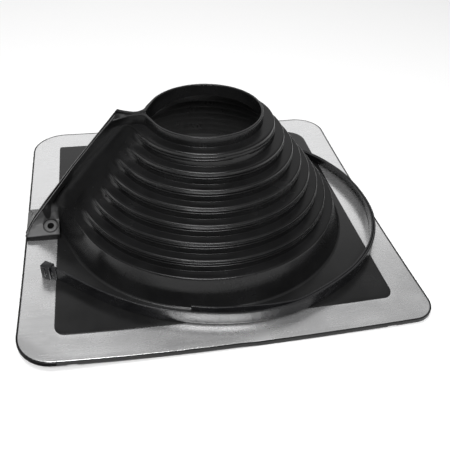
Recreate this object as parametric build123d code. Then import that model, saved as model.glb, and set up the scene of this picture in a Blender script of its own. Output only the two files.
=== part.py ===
from build123d import *
import os
from math import atan2, cos, degrees, hypot, radians, sin, tan

# Split pipe flashing boot: a stepped rubber cone on a square base with an aluminium frame,
# opened along one side by a seam with two flaps, and the loose tie that clamps its collar.
# Millimetres, Z up, origin on the floor under the middle of the base, seam towards -X.

# Square base
base_width = 356.0
base_corner_radius = 35.0
base_rubber = 2.2
bead_height = 1.2
bead_width = 5.0
bead_gap = 8.0
bead_gap_from_edge = 44.0
sealing_rib_width = 2.5
sealing_rib_insets = (15.0, 28.0)

# Aluminium frame and the rubber window inside it
frame_thickness = 0.8
frame_clearance = 0.1
edge_lip = 1.5
frame_width = 30.0
window_rise = 0.8
window_front_radius = 9.0
window_back_right_radius = 22.0
window_back_left_radius = 2.5

# Stepped cone
wall = 2.5
rim_radius = 54.3
rim_height = 9.5
ring_count = 8
first_ring_step = 11.0
ring_drop = 11.8
skirt_height = 26.6
skirt_flare = 9.5
foot_from_window_edge = 9.0
foot_fillet = 2.4
ring_edge_round = 0.8
ring_corner_fillet = 0.5
guide_rib_radius = 0.6
guide_rib_drops = (3.1, 5.6)

# Smooth pointed side that carries the seam
seam_half_angle = 22.0
seam_proud = 0.4

# Seam flaps
flap_thickness = 3.0
flap_reach = 27.3
flap_top_rise = 0.8
flap_end_height = 3.5
slit_width = 0.6

# Pads at the foot of the seam, each sloping up to its flap and with an eyelet
pad_overlap = 3.0
pad_reach = 22.0
pad_height = 6.0
pad_slope = 22.0
eyelet_hole_radius = 2.9
eyelet_from_window = 5.4
front_eyelet_offset = 12.3
back_eyelet_offset = 13.5
eyelet_groove_radius = 7.2
eyelet_groove_width = 1.2
eyelet_groove_depth = 0.8

# Loose tie
tie_width = 12.6
tie_thickness = 1.9
tie_layer_gap = 0.4
tie_head_length = 10.0
tie_head_depth = 8.0
tie_head_height = 15.0

# Levels and outlines worked out from the sizes above
frame_bottom = bead_height + base_rubber
frame_top = frame_bottom + frame_thickness
window_top = frame_top + window_rise
first_ring_level = window_top + skirt_height + (ring_count - 1) * ring_drop
rim_level = first_ring_level + rim_height
half_base = base_width / 2
half_window = half_base - frame_width
skirt_foot_radius = half_window - foot_from_window_edge
last_ring_radius = skirt_foot_radius - skirt_flare
first_ring_radius = rim_radius + first_ring_step
ring_growth = (last_ring_radius - first_ring_radius) / (ring_count - 1)
cut_margin = 5.0


def ring_radius(k):
    return first_ring_radius + ring_growth * k


def ring_level(k):
    return first_ring_level - ring_drop * k


last_ring_level = ring_level(ring_count - 1)


def base_outline(inset=0.0):
    """Rounded square, drawn in from the edge of the base."""
    side = base_width - 2 * inset
    return RectangleRounded(side, side, base_corner_radius - inset)


def slab(sketch, bottom, height):
    return Pos(0, 0, bottom) * extrude(sketch, height)


def window_outline():
    """Square window with its own radius at each corner."""
    square = Rectangle(2 * half_window, 2 * half_window)
    left_to_right = square.vertices().sort_by(Axis.X)
    back_left = left_to_right[:2].sort_by(Axis.Y)[-1]
    square = fillet(back_left, window_back_left_radius)
    for corner in (Vector(half_window, half_window), Vector(half_window, -half_window),
                   Vector(-half_window, -half_window)):
        radius = window_back_right_radius if corner.Y > 0 else window_front_radius
        square = fillet(square.vertices().sort_by_distance(corner)[0], radius)
    return square


def sealing_beads():
    """Broken bead under the edge of the base, and two unbroken ribs further in."""
    edge_bead = base_outline() - base_outline(bead_width)
    gap_centre = half_base - bead_gap_from_edge
    for sign in (-1, 1):
        edge_bead -= Pos(sign * gap_centre, 0) * Rectangle(bead_gap, base_width + cut_margin)
        edge_bead -= Pos(0, sign * gap_centre) * Rectangle(base_width + cut_margin, bead_gap)
    beads = slab(edge_bead, 0, bead_height)
    for inset in sealing_rib_insets:
        rib = base_outline(inset) - base_outline(inset + sealing_rib_width)
        beads += slab(rib, 0, bead_height)
    return beads


def rubber_base():
    """Rubber sheet with a lip round the aluminium, the raised window and the beads."""
    base = slab(base_outline(), bead_height, base_rubber)
    base += slab(base_outline() - base_outline(edge_lip), frame_bottom, frame_thickness)
    base += slab(window_outline(), frame_bottom, window_top - frame_bottom)
    return base + sealing_beads()


def cone_profile(inset, top, bottom):
    """Half section of the stepped cone, filled in to the axis."""
    points = [(0, top), (rim_radius - inset, top)]
    wall_radius = rim_radius
    for k in range(ring_count):
        points.append((wall_radius - inset, ring_level(k) - inset))
        wall_radius = ring_radius(k)
        points.append((wall_radius - inset, ring_level(k) - inset))
    foot = window_top - inset
    points += [(skirt_foot_radius - inset, foot), (skirt_foot_radius - inset, bottom), (0, bottom)]
    return points


def outer_section():
    """Outer half section with rounded ring edges, filleted corners and guide ribs."""
    top = rim_level
    section = make_face(Polyline(*cone_profile(0, top, bead_height), close=True))
    wall_radius = rim_radius
    for k in range(ring_count):
        corner = section.vertices().sort_by_distance(Vector(wall_radius, ring_level(k)))[0]
        section = fillet(corner, ring_corner_fillet)
        wall_radius = ring_radius(k)
        edge = section.vertices().sort_by_distance(Vector(wall_radius, ring_level(k)))[0]
        section = fillet(edge, ring_edge_round)
    rim_edge = section.vertices().sort_by_distance(Vector(rim_radius, top))[0]
    section = fillet(rim_edge, ring_edge_round)
    for k in range(ring_count - 1):
        for drop in guide_rib_drops:
            section += Pos(ring_radius(k), ring_level(k) - drop) * Circle(guide_rib_radius)
    return section


def foot_fillet_section():
    """Concave fillet between the skirt and the window."""
    run = skirt_foot_radius - last_ring_radius
    slope = hypot(run, skirt_height)
    start = (skirt_foot_radius - foot_fillet * run / slope,
             window_top + foot_fillet * skirt_height / slope)
    corner = (skirt_foot_radius, window_top)
    end = (skirt_foot_radius + foot_fillet, window_top)
    curve = Bezier(start, corner, end)
    return make_face([curve, Polyline(end, (end[0], frame_bottom), (start[0] - wall / 2, frame_bottom),
                                      start)])


def revolved(section):
    return revolve(Plane.XZ * section, Axis.Z)


def seam_wedge(levels, half_angle):
    """Smooth pointed side: two flat faces, each tangent to the cone beside the seam."""
    half = radians(half_angle)
    slices = []
    for radius, level in levels:
        side_x = -radius * cos(half)
        side_y = radius * sin(half)
        tip = -radius / cos(half)
        outline = Polyline((0, 0), (side_x, side_y), (tip, 0), (side_x, -side_y), close=True)
        slices.append(Pos(0, 0, level) * make_face(outline))
    return loft(slices, ruled=True)


def wedge_levels(inset, top, bottom):
    proud = seam_proud - inset
    return [
        (rim_radius + proud, top),
        (rim_radius + proud, first_ring_level + ring_edge_round - inset),
        (first_ring_radius + proud, first_ring_level - inset),
        (last_ring_radius + proud, last_ring_level - inset),
        (skirt_foot_radius + proud, window_top - inset),
        (skirt_foot_radius + proud, bottom),
    ]


def flap_edge(fraction):
    """Point (x, z) on the straight outer edge of the flaps, from its top corner down."""
    top_x = -(rim_radius + flap_reach)
    top_z = rim_level + flap_top_rise
    end_z = frame_top + flap_end_height
    return top_x + fraction * (-half_base - top_x), top_z + fraction * (end_z - top_z)


# Each station down the flaps: fraction of the edge, y at the root, y at the edge, half gap at the edge
flap_stations = (
    (0.00, 0.0, 2.0, 0.4),
    (0.46, 0.0, 2.5, 0.8),
    (0.62, 0.4, -0.2, 1.6),
    (0.76, -0.4, -1.8, 2.0),
    (0.90, -3.2, -5.2, 2.0),
    (1.00, -11.0, -13.0, 1.2),
)


def seam_sheet(thickness, bottom, above_edge, beyond):
    """Sheet that follows the seam: the flaps with their gap, or the gap alone."""
    root_half = slit_width / 2 + thickness

    def slice_at(x, root_y, edge_y, edge_half, top):
        corners = ((x, root_y - root_half, bottom), (x, root_y + root_half, bottom),
                   (x, edge_y + edge_half, top), (x, edge_y - edge_half, top))
        return make_face(Polyline(*corners, close=True))

    slices = []
    first_x = -(rim_radius - 2 * wall)
    slices.append(slice_at(first_x, 0, 0, root_half, rim_level + above_edge))
    for fraction, root_y, edge_y, half_gap in flap_stations:
        x, z = flap_edge(fraction)
        slices.append(slice_at(x, root_y, edge_y, half_gap + thickness, z + above_edge))
    sheet = loft(slices, ruled=True)
    if beyond:
        _, root_y, edge_y, half_gap = flap_stations[-1]
        top = flap_edge(1.0)[1] + above_edge
        end = slice_at(-half_base, root_y, edge_y, half_gap + thickness, top)
        sheet += extrude(end, beyond, dir=(-1, 0, 0))
    return sheet


def pad_top(y):
    """Level of a pad's top, which rises from its outer edge to the seam."""
    return frame_top + pad_height + (pad_reach - abs(y)) * tan(radians(pad_slope))


def pads():
    """Two raised pads over the split in the frame, their slopes cut off along the flaps' edge."""
    pad_width = frame_width - edge_lip + pad_overlap
    first_x = -half_base + edge_lip
    outline = Pos(first_x + pad_width / 2, 0) * Rectangle(pad_width, 2 * pad_reach)
    foot = slab(outline, frame_bottom, frame_thickness + pad_height)
    low = frame_top + pad_height / 2
    side = pad_top(pad_reach)
    gable = Polyline((first_x, -pad_reach, low), (first_x, -pad_reach, side), (first_x, 0, pad_top(0)),
                     (first_x, pad_reach, side), (first_x, pad_reach, low), close=True)
    slopes = extrude(make_face(gable), pad_width, dir=(1, 0, 0))
    top_x, top_z = flap_edge(0)
    end_x, end_z = flap_edge(1)
    edge_side = Polyline((end_x, -pad_reach, low), (top_x, -pad_reach, low), (top_x, -pad_reach, top_z),
                         (end_x, -pad_reach, end_z), close=True)
    return foot + (slopes & extrude(make_face(edge_side), 2 * pad_reach, dir=(0, 1, 0)))


def eyelet_places():
    x = -half_window - eyelet_from_window
    return [(x, -front_eyelet_offset), (x, back_eyelet_offset)]


def eyelet_cuts():
    """Upright through hole of both eyelets, and the ring groove in the slope round it."""
    ring = Circle(eyelet_groove_radius) - Circle(eyelet_groove_radius - eyelet_groove_width)
    groove = slab(ring, -eyelet_groove_depth, 2 * eyelet_groove_depth)
    cuts = []
    for x, y in eyelet_places():
        top = pad_top(y)
        tilt = -pad_slope if y > 0 else pad_slope
        cuts.append(Pos(x, y) * slab(Circle(eyelet_hole_radius), -cut_margin, top + 2 * cut_margin))
        cuts.append(Pos(x, y, top) * Rot(tilt, 0, 0) * groove)
    return cuts


def make_rubber_boot():
    """Cone, seam, flaps, pads and base, moulded in one piece and hollow from below."""
    body = rubber_base() + revolved(outer_section()) + revolved(foot_fillet_section())
    body += seam_wedge(wedge_levels(0, rim_level, bead_height), seam_half_angle)
    body += seam_sheet(flap_thickness, bead_height, 0, 0)
    body += pads()
    over = rim_level + cut_margin
    hollow = revolved(make_face(Polyline(*cone_profile(wall, over, -cut_margin), close=True)))
    side_wall_angle = degrees(wall / rim_radius)
    hollow += seam_wedge(wedge_levels(wall, over, -cut_margin), seam_half_angle - side_wall_angle)
    body -= hollow
    body -= seam_sheet(0, -cut_margin, cut_margin, cut_margin)
    for cut in eyelet_cuts():
        body -= cut
    return body


def make_aluminium_flange():
    """Flat frame round the window, open at the seam, where the pads close it."""
    frame = base_outline(edge_lip + frame_clearance) - window_outline()
    opening = Pos(-half_base, 0) * Rectangle(2 * frame_width, 2 * pad_reach)
    return slab(frame - opening, frame_bottom, frame_thickness)


# Route of the tie round the cone, as (angle in plan, distance beyond the cone's foot):
# single outer end, doubled stretch, fold behind the cone and single inner end
tie_outer_end = ((-153.3, 30.9), (-148.4, 24.2), (-134.5, 18.0), (-118.6, 15.8), (-103.9, 15.5),
                 (-90.7, 18.0), (-79.2, 21.3))
tie_doubled = ((-69.0, 22.8), (-61.3, 23.5), (-53.4, 25.4), (-44.8, 28.6), (-36.4, 31.2),
               (-30.4, 32.7), (-24.3, 33.3), (-15.5, 33.3), (-8.4, 32.8), (-1.3, 32.0),
               (4.7, 30.6), (11.7, 29.0), (18.3, 26.4), (24.2, 24.4), (30.7, 21.5),
               (40.1, 19.3), (50.1, 18.6), (59.9, 20.5))
tie_fold = ((68.2, 27.9), (72.7, 29.6), (74.5, 22.3), (71.7, 17.4), (67.1, 20.1))
tie_inner_end = ((-76.7, 17.0), (-84.7, 12.6), (-95.4, 10.2), (-103.7, 8.7))


def beyond_foot(points, shift=0.0):
    """Plan points round the cone, each that far outside its foot."""
    places = []
    for angle, distance in points:
        radius = skirt_foot_radius + distance + shift
        places.append((radius * cos(radians(angle)), radius * sin(radians(angle))))
    return places


def tie_route():
    """Middle line of the tie from its head round to its tail."""
    half_pitch = (tie_thickness + tie_layer_gap) / 2
    out = beyond_foot(tie_doubled, half_pitch)
    back = beyond_foot(reversed(tie_doubled), -half_pitch)
    return beyond_foot(tie_outer_end) + out + beyond_foot(tie_fold) + back + beyond_foot(tie_inner_end)


def make_cable_tie():
    """Flat strap standing on its edge, with its head at the outer end."""
    line = Spline(*tie_route())
    sides = []
    steps = 3 * len(tie_route())
    for side in (-1, 1):
        points = []
        for step in range(steps + 1):
            place = line.position_at(step / steps)
            along = line.tangent_at(step / steps)
            shift = side * tie_thickness / 2
            points.append((place.X - along.Y * shift, place.Y + along.X * shift))
        sides.append(points)
    left, right = sides
    edges = [Spline(*left), Line(left[-1], right[-1]), Spline(*reversed(right)), Line(right[0], left[0])]
    strap = slab(make_face(edges), window_top, tie_width)
    start = line.position_at(0)
    along = line.tangent_at(0)
    turn = degrees(atan2(along.Y, along.X))
    head_outline = Pos(-tie_head_length / 2 + tie_thickness, 0) * Rectangle(tie_head_length, tie_head_depth)
    head = extrude(head_outline, tie_head_height)
    return strap + Pos(start.X, start.Y, frame_top) * Rot(0, 0, turn) * head


def main():
    os.makedirs("parts", exist_ok=True)
    nodes = {
        "rubber_boot": make_rubber_boot(),
        "aluminium_flange": make_aluminium_flange(),
        "cable_tie": make_cable_tie(),
    }
    for name, shape in nodes.items():
        export_step(shape, f"parts/{name}.step")
        print(name, "solids", len(shape.solids()), "volume", round(shape.volume, 1),
              "valid", shape.is_valid)


main()
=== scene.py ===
from math import atan2, cos, hypot, pi, radians, sin, tan

import bmesh
import bpy
import numpy as np
from mathutils import Matrix, Vector


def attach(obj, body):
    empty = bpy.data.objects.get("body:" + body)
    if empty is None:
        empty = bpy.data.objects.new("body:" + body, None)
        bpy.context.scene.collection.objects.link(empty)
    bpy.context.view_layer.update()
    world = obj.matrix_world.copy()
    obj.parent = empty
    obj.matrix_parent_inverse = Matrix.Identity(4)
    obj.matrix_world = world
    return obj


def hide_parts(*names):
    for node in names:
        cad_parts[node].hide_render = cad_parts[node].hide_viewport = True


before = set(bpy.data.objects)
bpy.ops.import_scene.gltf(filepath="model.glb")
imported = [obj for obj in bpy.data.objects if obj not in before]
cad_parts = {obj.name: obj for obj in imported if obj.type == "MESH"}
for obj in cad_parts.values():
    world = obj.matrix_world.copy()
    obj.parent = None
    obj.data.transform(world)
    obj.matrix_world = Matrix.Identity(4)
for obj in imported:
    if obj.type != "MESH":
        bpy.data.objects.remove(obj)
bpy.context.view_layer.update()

# Sizes of the boot, in millimetres
MM = 0.001
HALF_BASE = 178.0
# Corner radii of the base: front right, back right, back left, front left
BASE_RADII = (21.0, 31.0, 36.0, 31.0)
FRAME_WIDTH = 30.0
HALF_WINDOW = HALF_BASE - FRAME_WIDTH
WINDOW_FRONT_RADIUS = 9.0
WINDOW_BACK_RIGHT_RADIUS = 22.0
WINDOW_BACK_LEFT_RADIUS = 2.5
UNDERSIDE = 1.2
FRAME_BOTTOM = 3.4
FRAME_TOP = 4.2
WINDOW_TOP = 5.0
EDGE_LIP = 1.5
FRAME_CLEARANCE = 0.1
RIB_WIDTH = 2.5
RIB_INSETS = (28.0, 15.0)
WALL = 2.5
RIM_RADIUS = 54.3
RIM_LEVEL = 123.7
RING_COUNT = 8
FIRST_RING = 65.3
LAST_RING = 129.5
RING_GROWTH = (LAST_RING - FIRST_RING) / (RING_COUNT - 1)
FIRST_LEVEL = 114.2
RING_DROP = 11.8
FOOT_RADIUS = 139.0
FOOT_FILLET = 2.2
EDGE_ROUND = 1.35
CORNER_FILLET = 0.3
# Turn of a step's rounded edge that is left out at the last step, which runs on into the skirt
SKIRT_TURN = 19.7
# Fine ribs on the steps' walls: drop of each below the step's top, and its section
BAND_DROPS = (3.4, 6.0)
BAND_SHAPE = ((-0.54, 0.0), (-0.42, 0.0), (-0.3, 0.15), (-0.12, 0.29), (0.14, 0.29), (0.32, 0.16), (0.48, 0.0))
SEAM_ANGLE = radians(22.0)
SEAM_INNER_ANGLE = radians(19.4)
SEAM_PROUD = 0.4
FLAP = 3.0
FLAP_TOP_X = -81.6
FLAP_TOP_Z = 124.5
FLAP_END_Z = 7.7
SLIT_HALF = 0.3
# Top corner of the front (-1) and back (1) flap: change in level outside and inside, extra thickness
FRONT_SAG = {-1: (-4.6, 1.4, 2.8), 1: (2.6, 2.4, 0.3)}
# Where each step's end starts to rise out of the seam's flank, in degrees from the seam
STEP_ENDS = (9.5, 8.5, 11.0, 9.0, 11.5, 13.0, 12.5, 12.0)
STEP_END_SPAN = 18.0
# Soft collar: half the oval's share of the radius, and the hollow behind the seam with its levels
COLLAR_OVAL = 0.021
HOLLOW_DEPTH = 0.06
HOLLOW_TOP = 119.0
HOLLOW_FLOOR = 92.0
PAD_TOP = 10.2
PAD_REACH = 22.0
PAD_INNER_X = -145.0
PAD_SLOPE = tan(radians(22.0))
EYELET_RADIUS = 2.9
EYELETS = ((-153.4, -12.3), (-153.4, 13.5))
TIE_WIDTH = 12.6
TIE_THICKNESS = 1.9
TIE_LAYER_GAP = 0.4
TIE_CORNER = 0.45
# Inward lean of the strap on the right: middle, reach and fade in degrees round the cone
TIE_LEAN = radians(26.0)
LEAN_MIDDLE = 20.0
LEAN_REACH = 42.0
LEAN_FADE = 24.0

# Flaps: fraction of the sloping edge, y at the root, y at the edge, half gap at the edge
FLAP_STATIONS = np.array((
    (0.00, 0.0, 1.6, 0.9),
    (0.14, 0.0, 2.2, 0.6),
    (0.46, 0.0, 2.5, 0.8),
    (0.62, 0.4, -0.2, 1.6),
    (0.76, -0.4, -1.8, 2.0),
    (0.90, -3.2, -5.2, 2.0),
    (1.00, -11.0, -13.0, 1.2),
))


def ring(k):
    return FIRST_RING + RING_GROWTH * k


def level(k):
    return FIRST_LEVEL - RING_DROP * k


def smooth(t):
    t = np.clip(t, 0.0, 1.0)
    return t * t * (3.0 - 2.0 * t)


# Profile of the cone
class Row:
    """One height of the boot's wall: outer and inner section points and how far the step is cut."""

    def __init__(self, outer, inner, share, step, thick=1.0):
        self.outer = outer
        self.inner = inner
        self.share = share
        self.step = step
        self.thick = thick


def steps():
    """Rows from the rim's top down the steps to the last ring's edge."""
    rows = []
    r_in = RIM_RADIUS - WALL
    for drop, thick in ((0.0, 0.0), (0.0, 0.46), (0.05, 0.66), (0.22, 0.84), (0.5, 0.95), (1.0, 1.0)):
        z = RIM_LEVEL - drop
        rows.append(Row((RIM_RADIUS, z), (r_in, z), drop / (RIM_LEVEL - FIRST_LEVEL), 0, thick))
    for k in range(RING_COUNT):
        wall_r = RIM_RADIUS if k == 0 else ring(k - 1)
        top = RIM_LEVEL if k == 0 else level(k - 1)
        floor = level(k)
        edge_r = ring(k)
        run = edge_r - wall_r
        total = top - floor + run
        inner_r = wall_r - WALL
        inner_top = RIM_LEVEL if k == 0 else top - WALL
        inner_floor = floor - WALL

        def wall_row(drop, bulge):
            share = drop / total
            inner_z = inner_top + (inner_floor - inner_top) * drop / (top - floor)
            rows.append(Row((wall_r + bulge, top - drop), (inner_r, inner_z), share, k))

        if k == 0:
            for drop in (1.6, 3.4, 5.4):
                wall_row(drop, 0.0)
        else:
            wall_row(1.7, 0.0)
            for middle in BAND_DROPS:
                for off, bulge in BAND_SHAPE:
                    wall_row(middle + off, bulge)
            wall_row(7.6, 0.0)
        for turn in (0, 25, 50, 72, 90):
            a = radians(turn)
            r = wall_r + CORNER_FILLET * (1 - cos(a))
            z = floor + CORNER_FILLET * (1 - sin(a))
            share = (top - z + r - wall_r) / total
            lead = turn / 90.0 - 0.5
            inner = (inner_r + max(lead, 0.0) * 1.4, inner_floor + max(-lead, 0.0) * 1.4)
            rows.append(Row((r, z), inner, share, k))
        for part in (0.42, 0.75):
            r = wall_r + run * part
            rows.append(Row((r, floor), (r - WALL, inner_floor), (top - floor + r - wall_r) / total, k))
        last = k == RING_COUNT - 1
        centre_r = edge_r - EDGE_ROUND * (0.7 if last else 1.0)
        for turn in (0.0, 0.28, 0.52, 0.76, 1.0):
            a = radians(turn * (90.0 - (SKIRT_TURN if last else 0.0)))
            r = centre_r + EDGE_ROUND * sin(a)
            z = floor - EDGE_ROUND * (1 - cos(a))
            lead = turn - 0.5
            inner = (edge_r - WALL - max(-lead, 0.0) * 1.2, inner_floor - max(lead, 0.0) * 1.2)
            rows.append(Row((r, z), inner, min(1.0, (top - floor + r - wall_r) / total), k))
    return rows


def skirt():
    """Rows of the smooth skirt, its foot fillet and the ring sunk in the base."""
    rows = []
    last = level(RING_COUNT - 1)
    run = FOOT_RADIUS - LAST_RING
    height = last - WINDOW_TOP
    slope = hypot(run, height)
    start_share = 1.0 - FOOT_FILLET / slope
    for share in (0.08, 0.18, 0.32, 0.46, 0.6, 0.7):
        r = LAST_RING + run * share
        z = last - height * share
        rows.append(Row((r, z), (r - WALL, z - 0.8), 1.0, RING_COUNT))
    start = (LAST_RING + run * start_share, last - height * start_share)
    for t in (0.0, 0.2, 0.4, 0.6, 0.8, 1.0):
        a, b, c = (1 - t) ** 2, 2 * t * (1 - t), t * t
        r = a * start[0] + b * FOOT_RADIUS + c * (FOOT_RADIUS + FOOT_FILLET)
        z = a * start[1] + b * WINDOW_TOP + c * WINDOW_TOP
        inner_r = min(LAST_RING - WALL + run * (last - z) / height, FOOT_RADIUS - WALL)
        rows.append(Row((r, z), (inner_r, z - 1.2), 1.0, RING_COUNT))
    rows.append(Row((FOOT_RADIUS + FOOT_FILLET, 4.6), (FOOT_RADIUS - WALL, 3.2), 1.0, RING_COUNT))
    rows.append(Row((FOOT_RADIUS + 1.5, 4.0), (FOOT_RADIUS - WALL, 2.4), 1.0, RING_COUNT))
    rows.append(Row((FOOT_RADIUS + 1.5, 1.12), (FOOT_RADIUS - WALL, 1.12), 1.0, RING_COUNT))
    rows.append(Row((FOOT_RADIUS + 1.5, 1.12), (FOOT_RADIUS - WALL, 1.12), 1.0, RING_COUNT, 0.0))
    return rows


def seam_fillet(z):
    """Radius of the hollow between a flap and the cone, largest half-way up."""
    up = float(smooth((z - 14.0) / 30.0))
    down = float(smooth((z - 70.0) / 54.0))
    return 4.0 + 14.0 * up - 7.0 * down


def pull_in(angle, z, side):
    """Radial factor of the soft collar: slightly oval, and drawn in behind the seam."""
    turn = angle * side - radians(160.0)
    oval = COLLAR_OVAL * (1.0 - cos(2.0 * turn)) * float(smooth((z - 100.0) / 16.0))
    if side < 0 or z > HOLLOW_TOP or z < HOLLOW_FLOOR:
        return 1.0 - oval
    hollow = max(0.0, 1.0 - ((angle - radians(38.0)) / radians(44.0)) ** 2) ** 2
    share = float(smooth((HOLLOW_TOP - z) / 4.8)) * float(smooth((z - HOLLOW_FLOOR) / 12.0))
    return 1.0 - oval - HOLLOW_DEPTH * hollow * share


def envelope(row):
    """Smooth section point beside the seam for a row, outside and inside."""
    if row.step in (0, RING_COUNT):
        return (row.outer[0] + SEAM_PROUD, row.outer[1]), (row.inner[0] + SEAM_PROUD, row.inner[1])
    top_r = ring(row.step - 1)
    top_z = level(row.step - 1)
    r = top_r + (ring(row.step) - top_r) * row.share
    z = top_z + (level(row.step) - top_z) * row.share
    return (r + SEAM_PROUD, z), (r + SEAM_PROUD - WALL, z - WALL)


# Seam and flaps
def flap_edge_x(z):
    share = (FLAP_TOP_Z - z) / (FLAP_TOP_Z - FLAP_END_Z)
    return max(-HALF_BASE, FLAP_TOP_X + share * (-HALF_BASE - FLAP_TOP_X))


def seam_line(x, z):
    """Middle of the seam in y and half its gap, at a point of the flaps' plane."""
    fraction = (x - FLAP_TOP_X) / (-HALF_BASE - FLAP_TOP_X)
    stations = FLAP_STATIONS[:, 0]
    root, edge, gap = (float(np.interp(fraction, stations, FLAP_STATIONS[:, i])) for i in (1, 2, 3))
    edge_z = FLAP_TOP_Z + max(fraction, 0.0) * (FLAP_END_Z - FLAP_TOP_Z)
    t = min(1.0, max(0.0, (z - UNDERSIDE) / (edge_z - UNDERSIDE)))
    if fraction < 0.0:
        near = max(0.0, 1.0 + fraction * (-HALF_BASE - FLAP_TOP_X) / -24.0)
        t *= near
    return root + t * (edge - root), SLIT_HALF + t * (gap - SLIT_HALF)


def near_corner(s, z):
    """1 at the top corner of a flap, falling to 0 down its edge and towards the rim."""
    return s ** 1.6 * max(0.0, 1.0 - (RIM_LEVEL - z) / 26.0) ** 2


# Columns round the plan, from the front flap's outer edge to the middle of the far side
EDGE_COLUMNS = ((0.0, 0.0), (0.0, 0.5), (0.07, 0.78), (0.3, 0.95), (0.75, 1.0))
FLAP_PARTS = (0.9, 0.75, 0.58, 0.42, 0.26, 0.12, 0.0)
FILLET_PARTS = (0.12, 0.25, 0.38, 0.52, 0.68, 0.84, 1.0)
FACET_PARTS = (0.08, 0.16, 0.24, 0.32, 0.41, 0.5, 0.59, 0.68, 0.76, 0.84, 0.92, 1.0)
RELIEF_END = (0.9, 1.9, 3.3, 5.0)
ARC_STEP = 2.5


def half_columns():
    """Columns of one half as (kind, place, thickness share)."""
    columns = [("edge", inset, thick) for inset, thick in EDGE_COLUMNS]
    columns += [("flap", part, 1.0) for part in FLAP_PARTS]
    columns += [("fillet", part, 1.0) for part in FILLET_PARTS]
    columns += [("facet", part, 1.0) for part in FACET_PARTS]
    columns += [("arc", SEAM_ANGLE + radians(extra), 1.0) for extra in RELIEF_END]
    angle = 22.0 + RELIEF_END[-1] + 1.0
    while angle < 180.0 - ARC_STEP / 2:
        columns.append(("arc", radians(angle), 1.0))
        angle += ARC_STEP
    return columns


def relief(angle, row):
    """0 where the steps are filled in beside the seam, 1 where they are cut in full."""
    if row.step == RING_COUNT:
        return 1.0
    start = radians(STEP_ENDS[row.step] + 1.2 * (1.0 - sin(pi * min(1.0, max(0.0, row.share))) ** 0.5))
    t = min(1.0, max(0.0, (angle - start) / radians(STEP_END_SPAN)))
    return 0.75 * t + 0.25 * float(smooth(t))


def plan_point(kind, place, row, side):
    """Outer and inner point of a column on one side: side is -1 in front and 1 behind."""
    (er, ez), (ir, iz) = envelope(row)
    if kind == "arc":
        w = relief(place, row)
        r = er + (row.outer[0] - er) * w
        z = ez + (row.outer[1] - ez) * w
        ri = ir + (row.inner[0] - ir) * w
        zi = iz + (row.inner[1] - iz) * w
        factor = pull_in(place, z, side)
        c, s = cos(place) * factor, sin(place) * factor
        return (-r * c, side * r * s, z), (-ri * c, side * ri * s, zi)
    root_x = -er / cos(SEAM_ANGLE)
    middle, gap = seam_line(root_x, ez)
    h = gap + FLAP + side * middle
    fillet = seam_fillet(ez)
    cut = fillet * tan((pi / 2 - SEAM_ANGLE) / 2)
    q = (er * sin(SEAM_ANGLE) - h) / cos(SEAM_ANGLE)
    x_h = -er * cos(SEAM_ANGLE) - q * sin(SEAM_ANGLE)
    slit_y = middle + side * gap
    inner_tip = -ir / cos(SEAM_INNER_ANGLE) + 0.4
    if kind == "facet":
        share = 1.0 - place
        length = (q - cut) * share
        angle = SEAM_ANGLE - atan2(length, er)
        w = relief(angle, row)
        factor = 1.0 + (row.outer[0] / er - 1.0) * w
        factor *= 1.0 - (1.0 - pull_in(angle, ez, side)) * place ** 2
        x = -er * cos(SEAM_ANGLE) - length * sin(SEAM_ANGLE)
        y = er * sin(SEAM_ANGLE) - length * cos(SEAM_ANGLE)
        z = ez + (row.outer[1] - ez) * w
        length = ir * tan(SEAM_INNER_ANGLE) * share * 0.97
        inner_factor = 1.0 + (row.inner[0] / ir - 1.0) * w
        inner_factor *= 1.0 - (1.0 - pull_in(angle, ez, side)) * place ** 2
        xi = -ir * cos(SEAM_INNER_ANGLE) - length * sin(SEAM_INNER_ANGLE)
        yi = ir * sin(SEAM_INNER_ANGLE) - length * cos(SEAM_INNER_ANGLE)
        zi = iz + (row.inner[1] - iz) * w
        inner = (xi * inner_factor, side * max(yi * inner_factor, side * slit_y + 0.02), zi)
        return (x * factor, side * y * factor, z), inner
    end_x = x_h - cut
    if kind == "fillet":
        turn = pi / 2 + (SEAM_ANGLE - pi / 2) * place
        cx, cy = end_x, h + fillet
        x = cx + fillet * cos(turn)
        y = cy - fillet * sin(turn)
        xi = end_x + (inner_tip - end_x) * place
        zi = ez + (iz - ez) * place
        return (x, side * y, ez), (xi, slit_y, zi)
    edge_x = flap_edge_x(ez)
    if kind == "edge":
        share = 1.0 - place / max(end_x - edge_x, 1.0)
    else:
        share = place
    corner = near_corner(share, ez)
    near = float(smooth(share / 0.35))
    points = []
    for z, extra in ((ez + FRONT_SAG[side][0] * corner, FLAP + FRONT_SAG[side][2] * corner),
                     (ez + FRONT_SAG[side][1] * corner, 0.0)):
        x = end_x + (flap_edge_x(z) - end_x) * share
        middle_here, gap_here = seam_line(x, min(z, FLAP_TOP_Z))
        y = middle_here + side * (gap_here + extra)
        start = side * h if extra else slit_y
        points.append((x, start + (y - start) * near, z))
    return points


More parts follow.
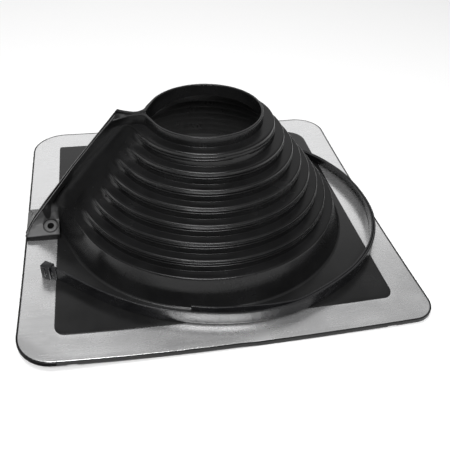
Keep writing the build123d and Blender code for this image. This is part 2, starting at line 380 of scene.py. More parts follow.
def build_wall():
    """Closed mesh of cone, seam and flaps: an outer and an inner skin that meet at every edge."""
    rows = steps() + skirt()
    columns = [(kind, place, thick, -1) for kind, place, thick in half_columns()]
    columns.append(("arc", pi, 1.0, 1))
    columns += [(kind, place, thick, 1) for kind, place, thick in reversed(half_columns())]
    count = len(columns)
    verts = []
    for row in rows:
        for kind, place, thick, side in columns:
            outer, inner = plan_point(kind, place, row, side)
            share = row.thick * thick
            middle = [(a + b) / 2 for a, b in zip(outer, inner)]
            verts.append([m + share * (a - m) for a, m in zip(outer, middle)])
            verts.append([m + share * (b - m) for b, m in zip(inner, middle)])
    faces = []
    for i in range(len(rows) - 1):
        for j in range(count - 1):
            a = 2 * (i * count + j)
            b = a + 2
            c = a + 2 * count
            d = c + 2
            faces.append((a, c, d, b))
            faces.append((a + 1, b + 1, d + 1, c + 1))
    return np.array(verts), faces


# Meshes
def flange_warp(points):
    """Gentle warp of the thin flange outside the cone's foot."""
    p = np.array(points, dtype=float)
    x, y = p[:, 0].copy(), p[:, 1].copy()
    corner = np.clip((np.hypot(x, y) - 150.0) / 80.0, 0.0, 1.0) ** 1.5
    p[:, 2] += corner * np.where(y > 0, 1.2, np.where(x > 0, 1.0, 5.0))
    along = 1.0 - (x / HALF_BASE) ** 2
    p[:, 1] -= 2.8 * np.clip(along, 0.0, 1.0) * np.clip((-y - 141.5) / 8.0, 0.0, 1.0)
    along = 1.0 - (y / HALF_BASE) ** 2
    p[:, 0] -= 2.4 * np.clip(along, 0.0, 1.0) * np.clip((x - 141.5) / 30.0, 0.0, 1.0)
    return p


def make_piece(name, verts, faces, material, slot, smooth_angle=35.0, weld=1e-6):
    mesh = bpy.data.meshes.new(name)
    mesh.from_pydata([tuple(v * MM for v in p) for p in verts], [], faces)
    bm = bmesh.new()
    bm.from_mesh(mesh)
    bmesh.ops.remove_doubles(bm, verts=bm.verts, dist=weld)
    bmesh.ops.dissolve_degenerate(bm, edges=bm.edges, dist=1e-7)
    bmesh.ops.recalc_face_normals(bm, faces=bm.faces)
    bm.to_mesh(mesh)
    bm.free()
    mesh.shade_smooth()
    mesh.set_sharp_from_angle(angle=radians(smooth_angle))
    mesh.materials.append(material)
    obj = bpy.data.objects.new(name, mesh)
    bpy.context.scene.collection.objects.link(obj)
    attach(obj, "root")
    return obj


# Positions along the base's sides: the outermost, and where they stay put on every loop near the edge
SIDE_REACH = 143.0
FIXED_STOPS_REACH = 140.0
FIXED_STOPS_INSET = 40.0
# Gaps in the edge bead, from the middle of a side to the middle of the gap, and half its width
GAP_PLACE = 134.0
GAP_HALF = 4.0
GAP_ENDS = (129.8, 130.2, 137.8, 138.2)


def side_stops():
    """Positions along one straight side of the base, with the ends of the bead's gaps."""
    stops = [-SIDE_REACH] + [-end for end in reversed(GAP_ENDS)]
    stops += list(np.linspace(-118, 118, 17))
    stops += [*GAP_ENDS, SIDE_REACH]
    return [float(s) for s in stops]


CORNER_TURNS = (0.09, 0.18, 0.27, 0.36, 0.45, 0.55, 0.64, 0.73, 0.82, 0.91)


def square_loop(half, radii):
    """Rounded square as a loop of points, anticlockwise from the front left corner's end.

    radii are those of the front right, back right, back left and front left corners.
    """
    loop = []
    for side in range(4):
        turn = side * pi / 2
        c, s = cos(turn), sin(turn)
        radius = radii[side]
        low, high = -(half - radii[side - 1]), half - radius
        points = []
        for stop in side_stops():
            along = low + (stop + SIDE_REACH) / (2 * SIDE_REACH) * (high - low)
            if abs(half - HALF_BASE) < FIXED_STOPS_INSET and abs(stop) < FIXED_STOPS_REACH:
                along = max(low, min(high, stop))
            points.append((along, -half))
        for t in CORNER_TURNS:
            a = -pi / 2 + t * pi / 2
            points.append((half - radius + radius * cos(a), -half + radius + radius * sin(a)))
        loop += [(x * c - y * s, x * s + y * c) for x, y in points]
    return loop


def loop_faces(count, loops, closed=True):
    faces = []
    for i in range(loops - 1):
        for j in range(count if closed else count - 1):
            k = (j + 1) % count
            faces.append((i * count + j, i * count + k, (i + 1) * count + k, (i + 1) * count + j))
    return faces


def base_radii(inset=0.0):
    return [r - inset for r in BASE_RADII]


WINDOW_RADII = [WINDOW_FRONT_RADIUS, WINDOW_BACK_RIGHT_RADIUS, WINDOW_BACK_LEFT_RADIUS, WINDOW_FRONT_RADIUS]


def window_radii(inset):
    return [max(0.6, r - inset) for r in WINDOW_RADII]


def foot_loop(directions, radius):
    """Plan of the cone's foot with the seam's point, seen in the directions of a loop's points."""
    loop = []
    for x, y in directions:
        angle = atan2(abs(y), -x)
        r = radius
        if angle < SEAM_ANGLE:
            r = radius / cos(SEAM_ANGLE - angle)
        d = hypot(x, y)
        loop.append((x / d * r, y / d * r))
    return loop


def build_base():
    """Rubber sheet of the base with its lip, raised window, edge bead and ribs below."""
    outer = square_loop(HALF_BASE, base_radii())
    gap = [abs(abs(x) - GAP_PLACE) < GAP_HALF and abs(y) > 170 or
           abs(abs(y) - GAP_PLACE) < GAP_HALF and abs(x) > 170 for x, y in outer]

    def inset_loop(inset):
        return square_loop(HALF_BASE - inset, base_radii(inset))

    def window_loop(inset):
        return square_loop(HALF_WINDOW - inset, window_radii(inset))

    layers = []

    def put(loop, z, bead=False):
        heights = [UNDERSIDE if bead and g else z for g in gap]
        layers.append([(x, y, h) for (x, y), h in zip(loop, heights)])

    hole = foot_loop(outer, FOOT_RADIUS - 1.0)
    put(hole, WINDOW_TOP - 0.15)
    put(hole, UNDERSIDE)
    for rib in RIB_INSETS:
        for back, z in ((0.0, UNDERSIDE), (0.25, 0.25), (0.7, 0.0), (1.8, 0.0), (2.25, 0.25), (2.5, UNDERSIDE)):
            put(inset_loop(rib + RIB_WIDTH - back), z)
    put(inset_loop(5.0), UNDERSIDE)
    for inset, z in ((4.6, 0.25), (4.0, 0.0), (0.7, 0.0), (0.2, 0.2), (0.0, 0.8)):
        put(inset_loop(inset), z, True)
    for inset, z in ((0.0, 1.3), (0.0, FRAME_TOP - 0.5), (0.15, FRAME_TOP - 0.12), (0.5, FRAME_TOP),
                     (EDGE_LIP - 0.3, FRAME_TOP), (EDGE_LIP, FRAME_TOP - 0.25),
                     (EDGE_LIP, FRAME_BOTTOM - 0.02), (12.0, FRAME_BOTTOM - 0.02)):
        put(inset_loop(inset), z)
    for inset, z in ((-0.3, FRAME_BOTTOM - 0.02), (0.05, FRAME_BOTTOM), (0.05, WINDOW_TOP - 0.45),
                     (0.2, WINDOW_TOP - 0.12), (0.6, WINDOW_TOP), (3.0, WINDOW_TOP)):
        put(window_loop(inset), z)
    put(foot_loop(outer, FOOT_RADIUS + 1.5), WINDOW_TOP - 0.15)
    put(hole, WINDOW_TOP - 0.15)
    verts = [p for layer in layers for p in layer]
    return flange_warp(verts), loop_faces(len(outer), len(layers))


def edge_level(x):
    """Level of the flaps' outer edge over a point of the base."""
    share = (x - FLAP_TOP_X) / (-HALF_BASE - FLAP_TOP_X)
    return FLAP_TOP_Z + share * (FLAP_END_Z - FLAP_TOP_Z)


def pad_slope(y):
    return PAD_TOP + (PAD_REACH - abs(y)) * PAD_SLOPE


def flap_face(x, z, side):
    """Outer face of a flap in y, at a point of the seam's plane."""
    middle, gap = seam_line(x, min(z, edge_level(x)))
    return middle + side * (gap + FLAP)


def pad_level(x, y, side):
    """Top of a pad: a slope with a small hollow web up to the flap, cut off along the flap's edge."""
    z = pad_slope(y)
    gap = max(0.0, (flap_face(x, z, side) - y) * -side)
    web = 7.0 * max(0.0, 1.0 - gap / 5.0) ** 3
    limit = edge_level(x) - 0.4
    return max(PAD_TOP - 0.6, min(z + web, limit))


def build_pad(eyelet, side):
    """Sloping pad beside the split, with a through eyelet on a flat ring and a groove round it."""
    ex, ey = eyelet
    out_x, in_x = -HALF_BASE + EDGE_LIP, PAD_INNER_X
    far = side * PAD_REACH
    stops = np.linspace(0.0, 1.0, 25)

    def near(x):
        return flap_face(x, pad_slope(4.0), side) - side * FLAP * 0.6

    outline = [(in_x, near(in_x) + (far - near(in_x)) * t) for t in stops[:-1]]
    outline += [(in_x + (out_x - in_x) * t, far) for t in stops[:-1]]
    outline += [(out_x, far + (near(out_x) - far) * t) for t in stops[:-1]]
    outline += [(out_x + (in_x - out_x) * t, near(out_x + (in_x - out_x) * t)) for t in stops[:-1]]
    tilt = -side * PAD_SLOPE

    def ring_loop(radius, drop):
        """Loop on the eyelet's tilted flat ring, drop below it."""
        loop = []
        for x, y in outline:
            a = atan2(y - ey, x - ex)
            px, py = ex + radius * cos(a), ey + radius * sin(a)
            loop.append((px, py, pad_slope(ey) + (py - ey) * tilt - drop))
        return loop

    def between(share, inset=0.0, drop=0.0):
        """Loop between the groove and the outline, on the pad's top."""
        loop = []
        for x, y in outline:
            a = atan2(y - ey, x - ex)
            sx, sy = ex + 7.6 * cos(a), ey + 7.6 * sin(a)
            reach = hypot(x - sx, y - sy)
            t = share if not inset else max(0.0, 1.0 - inset / max(reach, inset + 0.01))
            px, py = sx + (x - sx) * t, sy + (y - sy) * t
            loop.append((px, py, pad_level(px, py, side) - drop))
        return loop

    def floor_loop(level_z):
        return [(x, y, level_z) for x, y in outline]

    hole_floor = [(ex + EYELET_RADIUS * cos(atan2(y - ey, x - ex)),
                   ey + EYELET_RADIUS * sin(atan2(y - ey, x - ex)), UNDERSIDE + 0.02) for x, y in outline]
    layers = [hole_floor, ring_loop(EYELET_RADIUS, 0.5), ring_loop(EYELET_RADIUS + 0.12, 0.15),
              ring_loop(EYELET_RADIUS + 0.45, 0.0), ring_loop(5.7, -0.05), ring_loop(6.0, 0.15),
              ring_loop(6.15, 0.8), ring_loop(7.05, 0.8), ring_loop(7.2, 0.1), ring_loop(7.45, 0.0)]
    layers += [between(t) for t in (0.0, 0.12, 0.26, 0.4, 0.55, 0.7, 0.82, 0.92)]
    layers += [between(0.0, 0.7), between(0.0, 0.25, 0.12), between(1.0, 0.0, 0.5), between(1.0, 0.0, 1.0),
               floor_loop(PAD_TOP - 2.0), floor_loop(FRAME_BOTTOM - 0.6), hole_floor]
    verts = [p for layer in layers for p in layer]
    return verts, loop_faces(len(outline), len(layers))


def build_aluminium():
    """Soft aluminium frame round the window, open at the seam."""
    outer = square_loop(HALF_BASE - EDGE_LIP - FRAME_CLEARANCE, base_radii(EDGE_LIP + FRAME_CLEARANCE))
    inner = square_loop(HALF_WINDOW + 0.12, [r + 0.12 for r in WINDOW_RADII])
    count = len(outer)
    keep = [i for i in range(count) if not (outer[i][0] < -170 and abs(outer[i][1]) < PAD_REACH + 2)]
    start = next(n for n in range(len(keep)) if keep[n] - keep[n - 1] not in (1, 1 - count))
    keep = keep[start:] + keep[:start]
    path = [(outer[i], inner[i]) for i in keep]

    def end_pair(pair):
        """The pair's points moved along the left side to the end of the pad."""
        y = PAD_REACH if pair[0][1] > 0 else -PAD_REACH
        return (pair[0][0], y), (pair[1][0], y)

    path = [end_pair(path[0])] + path + [end_pair(path[-1])]
    across = [0.0, 0.0, 0.006, 0.02, 0.2, 0.4, 0.6, 0.8, 0.98, 0.994, 1.0, 1.0]
    top_z = [FRAME_TOP - 0.4, FRAME_TOP - 0.12, FRAME_TOP - 0.03] + [FRAME_TOP] * 6
    top_z += [FRAME_TOP - 0.03, FRAME_TOP - 0.12, FRAME_TOP - 0.4]
    section = list(zip(across, top_z))
    section += [(1.0, FRAME_BOTTOM + 0.01), (0.66, FRAME_BOTTOM + 0.01), (0.33, FRAME_BOTTOM + 0.01),
                (0.0, FRAME_BOTTOM + 0.01)]
    loops = []
    for (ox, oy), (ix, iy) in path:
        loops.append([(ox + (ix - ox) * s, oy + (iy - oy) * s, z) for s, z in section])
    verts = [p for loop in loops for p in loop]
    size = len(section)
    faces = loop_faces(size, len(loops))
    faces.append(tuple(reversed(range(size))))
    faces.append(tuple(range((len(loops) - 1) * size, len(loops) * size)))
    verts = np.array(verts)
    # Dents and waves of the soft sheet, on its upper face alone
    x, y = verts[:, 0], verts[:, 1]
    wave = 0.10 * np.sin(x / 17.0 + 1.3) * np.sin(y / 23.0 + 0.4) + 0.07 * np.sin((x - y) / 11.0)
    middle = np.clip((np.minimum(178 - np.abs(x), 178 - np.abs(y)) - 3.0) / 8.0, 0, 1)
    far = np.maximum(np.abs(x), np.abs(y))
    middle *= np.clip((far - 149.0) / 8.0, 0, 1)
    verts[:, 2] += np.where(verts[:, 2] > FRAME_TOP - 0.01, (wave - 0.16) * middle, 0.0)
    return flange_warp(verts), faces


TIE_OUTER_END = ((-153.3, 30.9), (-148.4, 24.2), (-134.5, 18.0), (-118.6, 15.8), (-103.9, 15.5),
                 (-90.7, 18.0), (-79.2, 21.3))
TIE_DOUBLED = ((-69.0, 22.8), (-61.3, 23.5), (-53.4, 25.4), (-44.8, 28.6), (-36.4, 31.2),
               (-30.4, 32.7), (-24.3, 33.3), (-15.5, 33.3), (-8.4, 32.8), (-1.3, 32.0),
               (4.7, 30.6), (11.7, 29.0), (18.3, 26.4), (24.2, 24.4), (30.7, 21.5),
               (40.1, 19.3), (50.1, 18.6), (59.9, 20.5))
TIE_FOLD = ((68.2, 27.9), (72.7, 29.6), (74.5, 22.3), (71.7, 17.4), (67.1, 20.1))
TIE_INNER_END = ((-76.7, 17.0), (-84.7, 12.6), (-95.4, 10.2), (-103.7, 8.7))


def beyond_foot(points, shift=0.0):
    places = []
    for angle, distance in points:
        radius = FOOT_RADIUS + distance + shift
        places.append((radius * cos(radians(angle)), radius * sin(radians(angle))))
    return places


def tie_line(steps_per_span=7):
    """Middle line of the tie as a smooth curve through its route."""
    half_pitch = (TIE_THICKNESS + TIE_LAYER_GAP) / 2
    route = beyond_foot(TIE_OUTER_END) + beyond_foot(TIE_DOUBLED, half_pitch) + beyond_foot(TIE_FOLD)
    route += beyond_foot(reversed(TIE_DOUBLED), -half_pitch) + beyond_foot(TIE_INNER_END)
    p = np.array(route)
    knots = np.concatenate([[0.0], np.cumsum(np.sqrt(np.hypot(*(np.diff(p, axis=0).T))))])
    slopes = np.gradient(p, knots, axis=0)
    line = []
    for i in range(len(p) - 1):
        width = knots[i + 1] - knots[i]
        for t in np.arange(steps_per_span) / steps_per_span:
            a = 2 * t ** 3 - 3 * t ** 2 + 1
            b = t ** 3 - 2 * t ** 2 + t
            c = -2 * t ** 3 + 3 * t ** 2
            d = t ** 3 - t ** 2
            line.append(a * p[i] + b * width * slopes[i] + c * p[i + 1] + d * width * slopes[i + 1])
    line.append(p[-1])
    return np.array(line)


def build_tie():
    """Strap standing on its edge, with rounded edges and a raised margin on its outer face."""
    line = tie_line()
    tangent = np.gradient(line, axis=0)
    tangent /= np.hypot(*tangent.T)[:, None]
    normal = np.stack([-tangent[:, 1], tangent[:, 0]], 1)
    half, r = TIE_THICKNESS / 2, TIE_CORNER
    low, high = WINDOW_TOP, WINDOW_TOP + TIE_WIDTH
    section = [(-half, low + r), (-half + 0.13, low + 0.13), (-half + r, low), (half - r, low),
               (half - 0.13, low + 0.13), (half, low + r), (half, low + 1.5), (half - 0.07, low + 1.9),
               (half - 0.07, high - 1.9), (half, high - 1.5), (half, high - r), (half - 0.13, high - 0.13),
               (half - r, high), (-half + r, high), (-half + 0.13, high - 0.13), (-half, high - r)]
    verts = []
    middle = TIE_WIDTH / 2
    for (x, y), (nx, ny) in zip(line, normal):
        turn = abs(np.degrees(np.arctan2(y, x)) - LEAN_MIDDLE)
        lean = TIE_LEAN * float(smooth((LEAN_REACH - turn) / LEAN_FADE))
        inward = 1.0 if nx * x + ny * y < 0 else -1.0
        for off, z in section:
            up = z - low - middle
            along = -off + inward * up * sin(lean)
            verts.append((x + nx * along, y + ny * along, low + middle * cos(lean) + up * cos(lean)))
    size = len(section)
    faces = loop_faces(size, len(line))
    faces.append(tuple(reversed(range(size))))
    faces.append(tuple(range((len(line) - 1) * size, len(line) * size)))
    return verts, faces, line


def box_mesh(length, depth, height, bevel):
    """Box from x 0 to length, centred in y, standing on z 0, with every edge rounded."""
    bm = bmesh.new()
    bmesh.ops.create_cube(bm, size=1.0)
    for v in bm.verts:
        v.co = Vector(((v.co.x + 0.5) * length, v.co.y * depth, (v.co.z + 0.5) * height))
    bmesh.ops.bevel(bm, geom=bm.edges[:], offset=bevel, segments=3, profile=0.5, affect="EDGES")
    bm.verts.index_update()
    verts = [tuple(v.co) for v in bm.verts]
    faces = [tuple(v.index for v in f.verts) for f in bm.faces]
    bm.free()
    return verts, faces


def join_meshes(parts):
    verts, faces = [], []
    for v, f in parts:
        start = len(verts)
        verts += [tuple(p) for p in v]
        faces += [tuple(i + start for i in face) for face in f]
    return verts, faces


def tie_head(line):
    """Head of the tie: a rounded box with a raised frame round its slot."""
    x, y = line[0]
    along = Vector((line[1][0] - line[0][0], line[1][1] - line[0][1], 0)).normalized()
    angle = atan2(along.y, along.x)
    turn = Matrix.Rotation(angle, 4, "Z")
    parts = []

    def put(length, depth, height, bevel, at, side=0.0, base=FRAME_TOP):
        verts, faces = box_mesh(length, depth, height, bevel)
        placed = []
        for v in verts:
            p = turn @ Vector((v[0] + at, v[1] + side, v[2]))
            placed.append((p.x + x, p.y + y, p.z + base))
        parts.append((placed, faces))

    put(10.0, 8.0, 15.0, 0.9, -8.1)
    put(1.3, 6.0, 12.4, 0.4, -8.9, 0.0, FRAME_TOP + 1.3)
    put(6.5, 3.4, 13.4, 0.5, 0.2, 0.0, FRAME_TOP + 0.8)
    put(2.4, 1.2, 11.6, 0.35, -5.5, -4.1, FRAME_TOP + 1.7)
    return parts


def dome(centre, normal, radius):
    """Small closed bump sunk halfway in a surface."""
    bm = bmesh.new()
    bmesh.ops.create_uvsphere(bm, u_segments=12, v_segments=8, radius=radius)
    rotation = Vector((0, 0, 1)).rotation_difference(Vector(normal)).to_matrix().to_4x4()
    bm.transform(Matrix.Translation(Vector(centre)) @ rotation @ Matrix.Scale(0.7, 4, (0, 0, 1)))
    # Blender gives the sphere's faces in no fixed order, so points and faces are sorted
    verts = sorted(tuple(v.co) for v in bm.verts)
    place = {vert: i for i, vert in enumerate(verts)}
    faces = []
    for face in bm.faces:
        loop = [place[tuple(v.co)] for v in face.verts]
        first = loop.index(min(loop))
        faces.append(tuple(loop[first:] + loop[:first]))
    bm.free()
    return verts, sorted(faces)


# Moulding pips beside the ends of the steps: angle from the seam, level, radius
PIPS = ((-15.0, 105.5, 1.1), (-17.0, 95.0, 1.0), (-10.0, 101.0, 0.9), (-19.0, 82.0, 1.0), (-21.0, 62.0, 1.1),
        (-19.0, 58.0, 0.9), (-23.0, 51.0, 0.9), (-8.0, 36.0, 0.9), (17.0, 96.0, 0.9), (20.0, 72.0, 0.9))


def pips(skin):
    """Small domes, each on the point of the outer skin nearest to its place."""
    parts = []
    for angle, z, radius in PIPS:
        share = (FIRST_LEVEL - z) / (FIRST_LEVEL - level(RING_COUNT - 1))
        r = FIRST_RING + (LAST_RING - FIRST_RING) * share
        a = radians(angle)
        place = np.array((-r * cos(a), r * sin(a), z))
        centre = skin[np.argmin(np.linalg.norm(skin - place, axis=1))]
        parts.append(dome(centre, (-cos(a), sin(a), 0.75), radius))
    return parts


# Materials
def node_material(name):
    material = bpy.data.materials.new(name)
    material.use_nodes = True
    tree = material.node_tree
    shader = tree.nodes["Principled BSDF"]
    return material, tree, shader


def add_node(tree, kind, **values):
    node = tree.nodes.new(kind)
    for key, value in values.items():
        if key in node.inputs:
            node.inputs[key].default_value = value
        else:
            setattr(node, key, value)
    return node


def ramp(tree, source, low, high, low_value, high_value):
    """Maps low to high on to a range of numbers, held at its ends."""
    node = add_node(tree, "ShaderNodeMapRange")
    for name, value in (("From Min", low), ("From Max", high), ("To Min", low_value), ("To Max", high_value)):
        node.inputs[name].default_value = value
    tree.links.new(source, node.inputs["Value"])
    return node.outputs["Result"]


def noise(tree, coords, scale, detail=3.0, roughness=0.55, stretch=None):
    source = coords
    if stretch:
        mapping = add_node(tree, "ShaderNodeMapping")
        mapping.inputs["Scale"].default_value = stretch
        tree.links.new(coords, mapping.inputs["Vector"])
        source = mapping.outputs["Vector"]
    node = add_node(tree, "ShaderNodeTexNoise")
    node.inputs["Scale"].default_value = scale
    node.inputs["Detail"].default_value = detail
    node.inputs["Roughness"].default_value = roughness
    tree.links.new(source, node.inputs["Vector"])
    return node.outputs["Fac"]


def mix_colour(tree, factor, low, high):
    node = add_node(tree, "ShaderNodeMix", data_type="RGBA")
    node.inputs[6].default_value = (*low, 1.0)
    node.inputs[7].default_value = (*high, 1.0)
    tree.links.new(factor, node.inputs[0])
    return node.outputs[2]


def math_node(tree, operation, *values):
    """A maths node whose inputs are links, or numbers where floats are given."""
    node = add_node(tree, "ShaderNodeMath", operation=operation)
    for socket, value in zip(node.inputs, values):
        if isinstance(value, float):
            socket.default_value = value
        else:
            tree.links.new(value, socket)
    return node.outputs[0]


def add(tree, first, second):
    return math_node(tree, "ADD", first, second)


def times(tree, first, second):
    return math_node(tree, "MULTIPLY", first, second)


def bump(tree, height, distance, strength, shader):
    node = add_node(tree, "ShaderNodeBump")
    node.inputs["Distance"].default_value = distance
    node.inputs["Strength"].default_value = strength
    tree.links.new(height, node.inputs["Height"])
    tree.links.new(node.outputs["Normal"], shader.inputs["Normal"])


def pad_painted_sheen(tree, place, coords):
    """Mask of the painted sheen: 1 on the pads and the flaps' lower faces, painted lighter grey as if lit; 0 at
    their dark edges and in the eyelets, and low in the groove round each eyelet.
    """
    x, z = place.outputs["X"], place.outputs["Z"]
    mask = times(tree, ramp(tree, x, -0.1445, -0.149, 0.0, 1.0), ramp(tree, z, 0.036, 0.029, 0.0, 1.0))
    mask = times(tree, mask, ramp(tree, z, 0.0096, 0.0104, 0.0, 1.0))
    slope = (FLAP_TOP_X + HALF_BASE) / (FLAP_TOP_Z - FLAP_END_Z)
    behind = math_node(tree, "MULTIPLY_ADD", z, -slope, x)
    edge = (-HALF_BASE - FLAP_END_Z * slope) * MM
    mask = times(tree, mask, ramp(tree, behind, edge + 0.0003, edge + 0.001, 0.0, 1.0))
    for eyelet_x, eyelet_y in EYELETS:
        flat = add_node(tree, "ShaderNodeVectorMath", operation="MULTIPLY")
        flat.inputs[1].default_value = (1.0, 1.0, 0.0)
        tree.links.new(coords, flat.inputs[0])
        away = add_node(tree, "ShaderNodeVectorMath", operation="DISTANCE")
        away.inputs[1].default_value = (eyelet_x * MM, eyelet_y * MM, 0.0)
        tree.links.new(flat.outputs[0], away.inputs[0])
        distance = away.outputs["Value"]
        mask = times(tree, mask, ramp(tree, distance, 0.0029, 0.0033, 0.0, 1.0))
        groove = times(tree, ramp(tree, distance, 0.0058, 0.0062, 0.0, 1.0),
                       ramp(tree, distance, 0.0072, 0.0076, 1.0, 0.0))
        mask = times(tree, mask, ramp(tree, groove, 0.0, 1.0, 1.0, 0.15))
    return mask


# Where the rubber is as matt as it gets, against 1 on its ledges and beside the seam
MATT_FULL = 1.4
# Slope of the line in plan that bounds the matt zone beside the seam
SEAM_ZONE = -0.35


def matt_parts(tree, place):
    """How matt the rubber is: on the steps' ledges, beside the seam and on the pads' sides."""
    x, y, z = (place.outputs[axis] for axis in "XYZ")
    facing = add_node(tree, "ShaderNodeSeparateXYZ")
    tree.links.new(add_node(tree, "ShaderNodeNewGeometry").outputs["Normal"], facing.inputs[0])
    upward = facing.outputs["Z"]
    ledge = times(tree, ramp(tree, upward, 0.9, 0.985, 0.0, 1.0), ramp(tree, z, 0.025, 0.03, 0.0, 1.0))
    ledge = times(tree, ledge, ramp(tree, z, 0.1225, 0.1215, 0.0, 1.0))
    side = times(tree, ramp(tree, upward, 0.3, 0.6, 1.0, 0.0), ramp(tree, x, -0.1445, -0.146, 0.0, 1.0))
    side = times(tree, side, ramp(tree, z, 0.0096, 0.0104, 1.0, 0.0))
    bound = math_node(tree, "MULTIPLY", x, SEAM_ZONE)
    past = math_node(tree, "SUBTRACT", math_node(tree, "ABSOLUTE", y), bound)
    seam = times(tree, ramp(tree, past, -0.012, 0.018, 1.0, 0.0), ramp(tree, x, -0.045, -0.058, 0.0, 1.0))
    return add(tree, add(tree, ledge, seam), ramp(tree, side, 0.0, 1.0, 0.0, MATT_FULL))


def rubber_material():
    """Moulded black rubber: fine grain, faint flow marks, matt ledges, and a painted sheen: the pads and the
    flaps' lower faces painted lighter grey as if lit.
    """
    material, tree, shader = node_material("moulded_rubber")
    coords = add_node(tree, "ShaderNodeTexCoord").outputs["Object"]
    cloudy = noise(tree, coords, 28.0, 4.0, 0.6)
    fine = noise(tree, coords, 900.0, 2.0, 0.5)
    streak = noise(tree, coords, 60.0, 3.0, 0.6, (0.5, 0.5, 5.0))
    patches = ramp(tree, cloudy, 0.35, 0.7, 0.0, 1.0)
    colour = mix_colour(tree, patches, (0.0075, 0.0075, 0.0077), (0.0125, 0.0125, 0.0128))
    place = add_node(tree, "ShaderNodeSeparateXYZ")
    tree.links.new(coords, place.inputs[0])
    # Painted sheen: the pads and the flaps' lower faces are painted lighter grey as if lit, with the eyelet
    # holes and grooves kept dark as if shaded.
    painted_sheen = times(tree, pad_painted_sheen(tree, place, coords), ramp(tree, cloudy, 0.3, 0.7, 0.7, 1.0))
    grey = add_node(tree, "ShaderNodeMix", data_type="RGBA")
    grey.inputs[7].default_value = (0.115, 0.115, 0.116, 1.0)
    tree.links.new(painted_sheen, grey.inputs[0])
    tree.links.new(colour, grey.inputs[6])
    tree.links.new(grey.outputs[2], shader.inputs["Base Color"])
    tree.links.new(ramp(tree, cloudy, 0.3, 0.7, 0.2, 0.29), shader.inputs["Roughness"])
    tree.links.new(ramp(tree, matt_parts(tree, place), 0.0, MATT_FULL, 0.38, 0.02),
                   shader.inputs["Specular IOR Level"])
    height = add(tree, ramp(tree, fine, 0.0, 1.0, 0.0, 0.3), ramp(tree, streak, 0.0, 1.0, 0.0, 0.5))
    bump(tree, height, 0.00012, 0.5, shader)
    return material


def aluminium_material():
    """Soft rolled sheet: satin metal with rolling marks, small scratches and dull patches."""
    material, tree, shader = node_material("satin_aluminium")
    coords = add_node(tree, "ShaderNodeTexCoord").outputs["Object"]
    cloudy = noise(tree, coords, 22.0, 4.0, 0.6)
    rolled = noise(tree, coords, 90.0, 3.0, 0.6, (0.12, 6.0, 1.0))
    fine = noise(tree, coords, 700.0, 3.0, 0.6)
    scratch = noise(tree, coords, 40.0, 5.0, 0.75, (1.0, 9.0, 1.0))
    patches = ramp(tree, cloudy, 0.35, 0.7, 0.0, 1.0)
    colour = mix_colour(tree, patches, (0.84, 0.84, 0.845), (0.94, 0.94, 0.945))
    tree.links.new(colour, shader.inputs["Base Color"])
    shader.inputs["Metallic"].default_value = 0.88
    rough = add(tree, ramp(tree, cloudy, 0.3, 0.75, 0.2, 0.3), ramp(tree, scratch, 0.5, 0.75, 0.0, 0.09))
    tree.links.new(rough, shader.inputs["Roughness"])
    height = add(tree, ramp(tree, rolled, 0.0, 1.0, 0.0, 0.5), ramp(tree, fine, 0.0, 1.0, 0.0, 0.5))
    bump(tree, height, 0.00008, 0.4, shader)
    return material


def nylon_material():
    """Black nylon: satin, with faint mottling."""
    material, tree, shader = node_material("black_nylon")
    coords = add_node(tree, "ShaderNodeTexCoord").outputs["Object"]
    cloudy = noise(tree, coords, 60.0, 3.0, 0.6)
    fine = noise(tree, coords, 1200.0, 2.0, 0.5)
    patches = ramp(tree, cloudy, 0.35, 0.7, 0.0, 1.0)
    colour = mix_colour(tree, patches, (0.008, 0.008, 0.009), (0.016, 0.016, 0.017))
    tree.links.new(colour, shader.inputs["Base Color"])
    tree.links.new(ramp(tree, cloudy, 0.3, 0.7, 0.2, 0.3), shader.inputs["Roughness"])
    shader.inputs["Specular IOR Level"].default_value = 0.5
    bump(tree, fine, 0.00006, 0.4, shader)
    return material


rubber = rubber_material()
aluminium = aluminium_material()
nylon = nylon_material()

wall_verts, wall_faces = build_wall()
cone_mesh = join_meshes([(wall_verts, wall_faces)] + pips(wall_verts[::2]))
cone = make_piece("boot_cone", *cone_mesh, rubber, "rubber", 50.0)
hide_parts("rubber_boot")

base_verts, base_faces = build_base()
pad_parts = [build_pad(EYELETS[0], -1), build_pad(EYELETS[1], 1)]
base = make_piece("boot_base", base_verts, base_faces, rubber, "rubber", 40.0)
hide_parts("rubber_boot")
pads = make_piece("boot_pads", *join_meshes(pad_parts), rubber, "rubber", 40.0)
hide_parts("rubber_boot")

sheet = make_piece("aluminium_frame", *build_aluminium(), aluminium, "aluminium", 40.0)
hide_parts("aluminium_flange")

strap_verts, strap_faces, strap_line = build_tie()
tie = make_piece("cable_tie_strap", *join_meshes([(strap_verts, strap_faces)] + tie_head(strap_line)),
                 nylon, "nylon", 35.0)
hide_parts("cable_tie")


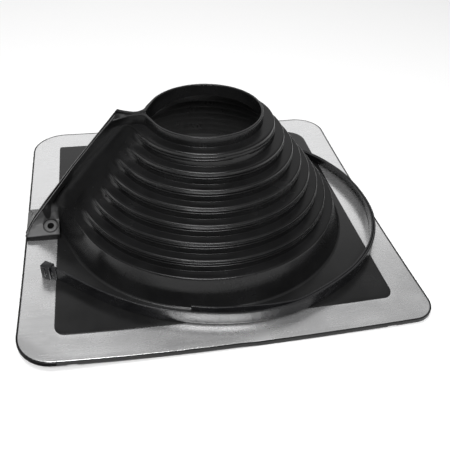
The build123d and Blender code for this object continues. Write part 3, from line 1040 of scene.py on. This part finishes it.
# Floor, light and camera
def make_floor():
    """Plain pale floor: pale in view and in reflections, darker for soft bounces on to the object."""
    mesh = bpy.data.meshes.new("floor")
    size = 6.0
    corners = [(-size, -size, 0), (size, -size, 0), (size, size, 0), (-size, size, 0)]
    mesh.from_pydata(corners, [], [(0, 1, 2, 3)])
    material, tree, shader = node_material("pale_floor")
    coords = add_node(tree, "ShaderNodeTexCoord").outputs["Object"]
    soft = noise(tree, coords, 3.0, 2.0, 0.5)
    pale = mix_colour(tree, soft, (0.985, 0.985, 0.985), (1.0, 1.0, 1.0))
    path = add_node(tree, "ShaderNodeLightPath")
    tone = add_node(tree, "ShaderNodeMix", data_type="RGBA")
    tone.inputs[6].default_value = (0.09, 0.09, 0.09, 1.0)
    seen = add(tree, path.outputs["Is Camera Ray"], path.outputs["Is Glossy Ray"])
    seen = ramp(tree, add(tree, seen, path.outputs["Is Transmission Ray"]), 0.0, 1.0, 0.0, 1.0)
    tree.links.new(seen, tone.inputs[0])
    tree.links.new(pale, tone.inputs[7])
    tree.links.new(tone.outputs[2], shader.inputs["Base Color"])
    shader.inputs["Roughness"].default_value = 0.9
    shader.inputs["Specular IOR Level"].default_value = 0.1
    shader.inputs["Emission Color"].default_value = (1.0, 1.0, 1.0, 1.0)
    tree.links.new(ramp(tree, seen, 0.0, 1.0, 0.0, 0.05), shader.inputs["Emission Strength"])
    mesh.materials.append(material)
    floor = bpy.data.objects.new("floor", mesh)
    floor.location = (0, 0, -0.0002)
    bpy.context.scene.collection.objects.link(floor)


def area_light(name, place, target, size, power):
    light = bpy.data.lights.new(name, "AREA")
    light.shape = "RECTANGLE"
    light.size, light.size_y = size
    light.energy = power
    obj = bpy.data.objects.new(name, light)
    obj.location = place
    obj.rotation_euler = (Vector(target) - Vector(place)).to_track_quat("-Z", "Y").to_euler()
    bpy.context.scene.collection.objects.link(obj)
    return obj


def make_world():
    """Soft even light from above, dimmer towards the horizon."""
    world = bpy.data.worlds.new("studio")
    bpy.context.scene.world = world
    world.use_nodes = True
    tree = world.node_tree
    background = tree.nodes["Background"]
    background.inputs["Color"].default_value = (1.0, 1.0, 1.0, 1.0)
    direction = add_node(tree, "ShaderNodeSeparateXYZ")
    tree.links.new(add_node(tree, "ShaderNodeTexCoord").outputs["Generated"], direction.inputs[0])
    tree.links.new(ramp(tree, direction.outputs["Z"], 0.12, 0.85, 0.07, 0.33), background.inputs["Strength"])


CAMERA_PLACE = (-0.0880, -0.4944, 0.3878)
CAMERA_YAW = radians(12.67)
CAMERA_PITCH = radians(38.55)
CAMERA_ROLL = radians(2.54)


def make_camera():
    data = bpy.data.cameras.new("camera")
    data.sensor_width = 36.0
    data.lens = 48.43
    data.clip_start = 0.01
    data.clip_end = 50.0
    camera = bpy.data.objects.new("camera", data)
    bpy.context.scene.collection.objects.link(camera)
    forward = Vector((sin(CAMERA_YAW) * cos(CAMERA_PITCH), cos(CAMERA_YAW) * cos(CAMERA_PITCH),
                      -sin(CAMERA_PITCH)))
    flat_right = Vector((cos(CAMERA_YAW), -sin(CAMERA_YAW), 0))
    flat_up = flat_right.cross(forward)
    right = flat_right * cos(CAMERA_ROLL) + flat_up * sin(CAMERA_ROLL)
    up = flat_up * cos(CAMERA_ROLL) - flat_right * sin(CAMERA_ROLL)
    rotation = Matrix((right, up, -forward)).transposed().to_4x4()
    camera.matrix_world = Matrix.Translation(CAMERA_PLACE) @ rotation
    bpy.context.scene.camera = camera


make_floor()
make_world()
make_camera()
area_light("key", (-0.19, -1.53, 1.84), (0.0, 0.0, 0.05), (1.35, 0.6), 44.0)
area_light("overhead", (-0.3, -0.05, 2.0), (-0.05, 0.0, 0.0), (0.7, 0.7), 12.0)
area_light("back", (0.2, 2.1, 1.25), (0.0, 0.0, 0.0), (2.6, 1.0), 5.4)
bpy.context.scene.view_settings.view_transform = "Standard"
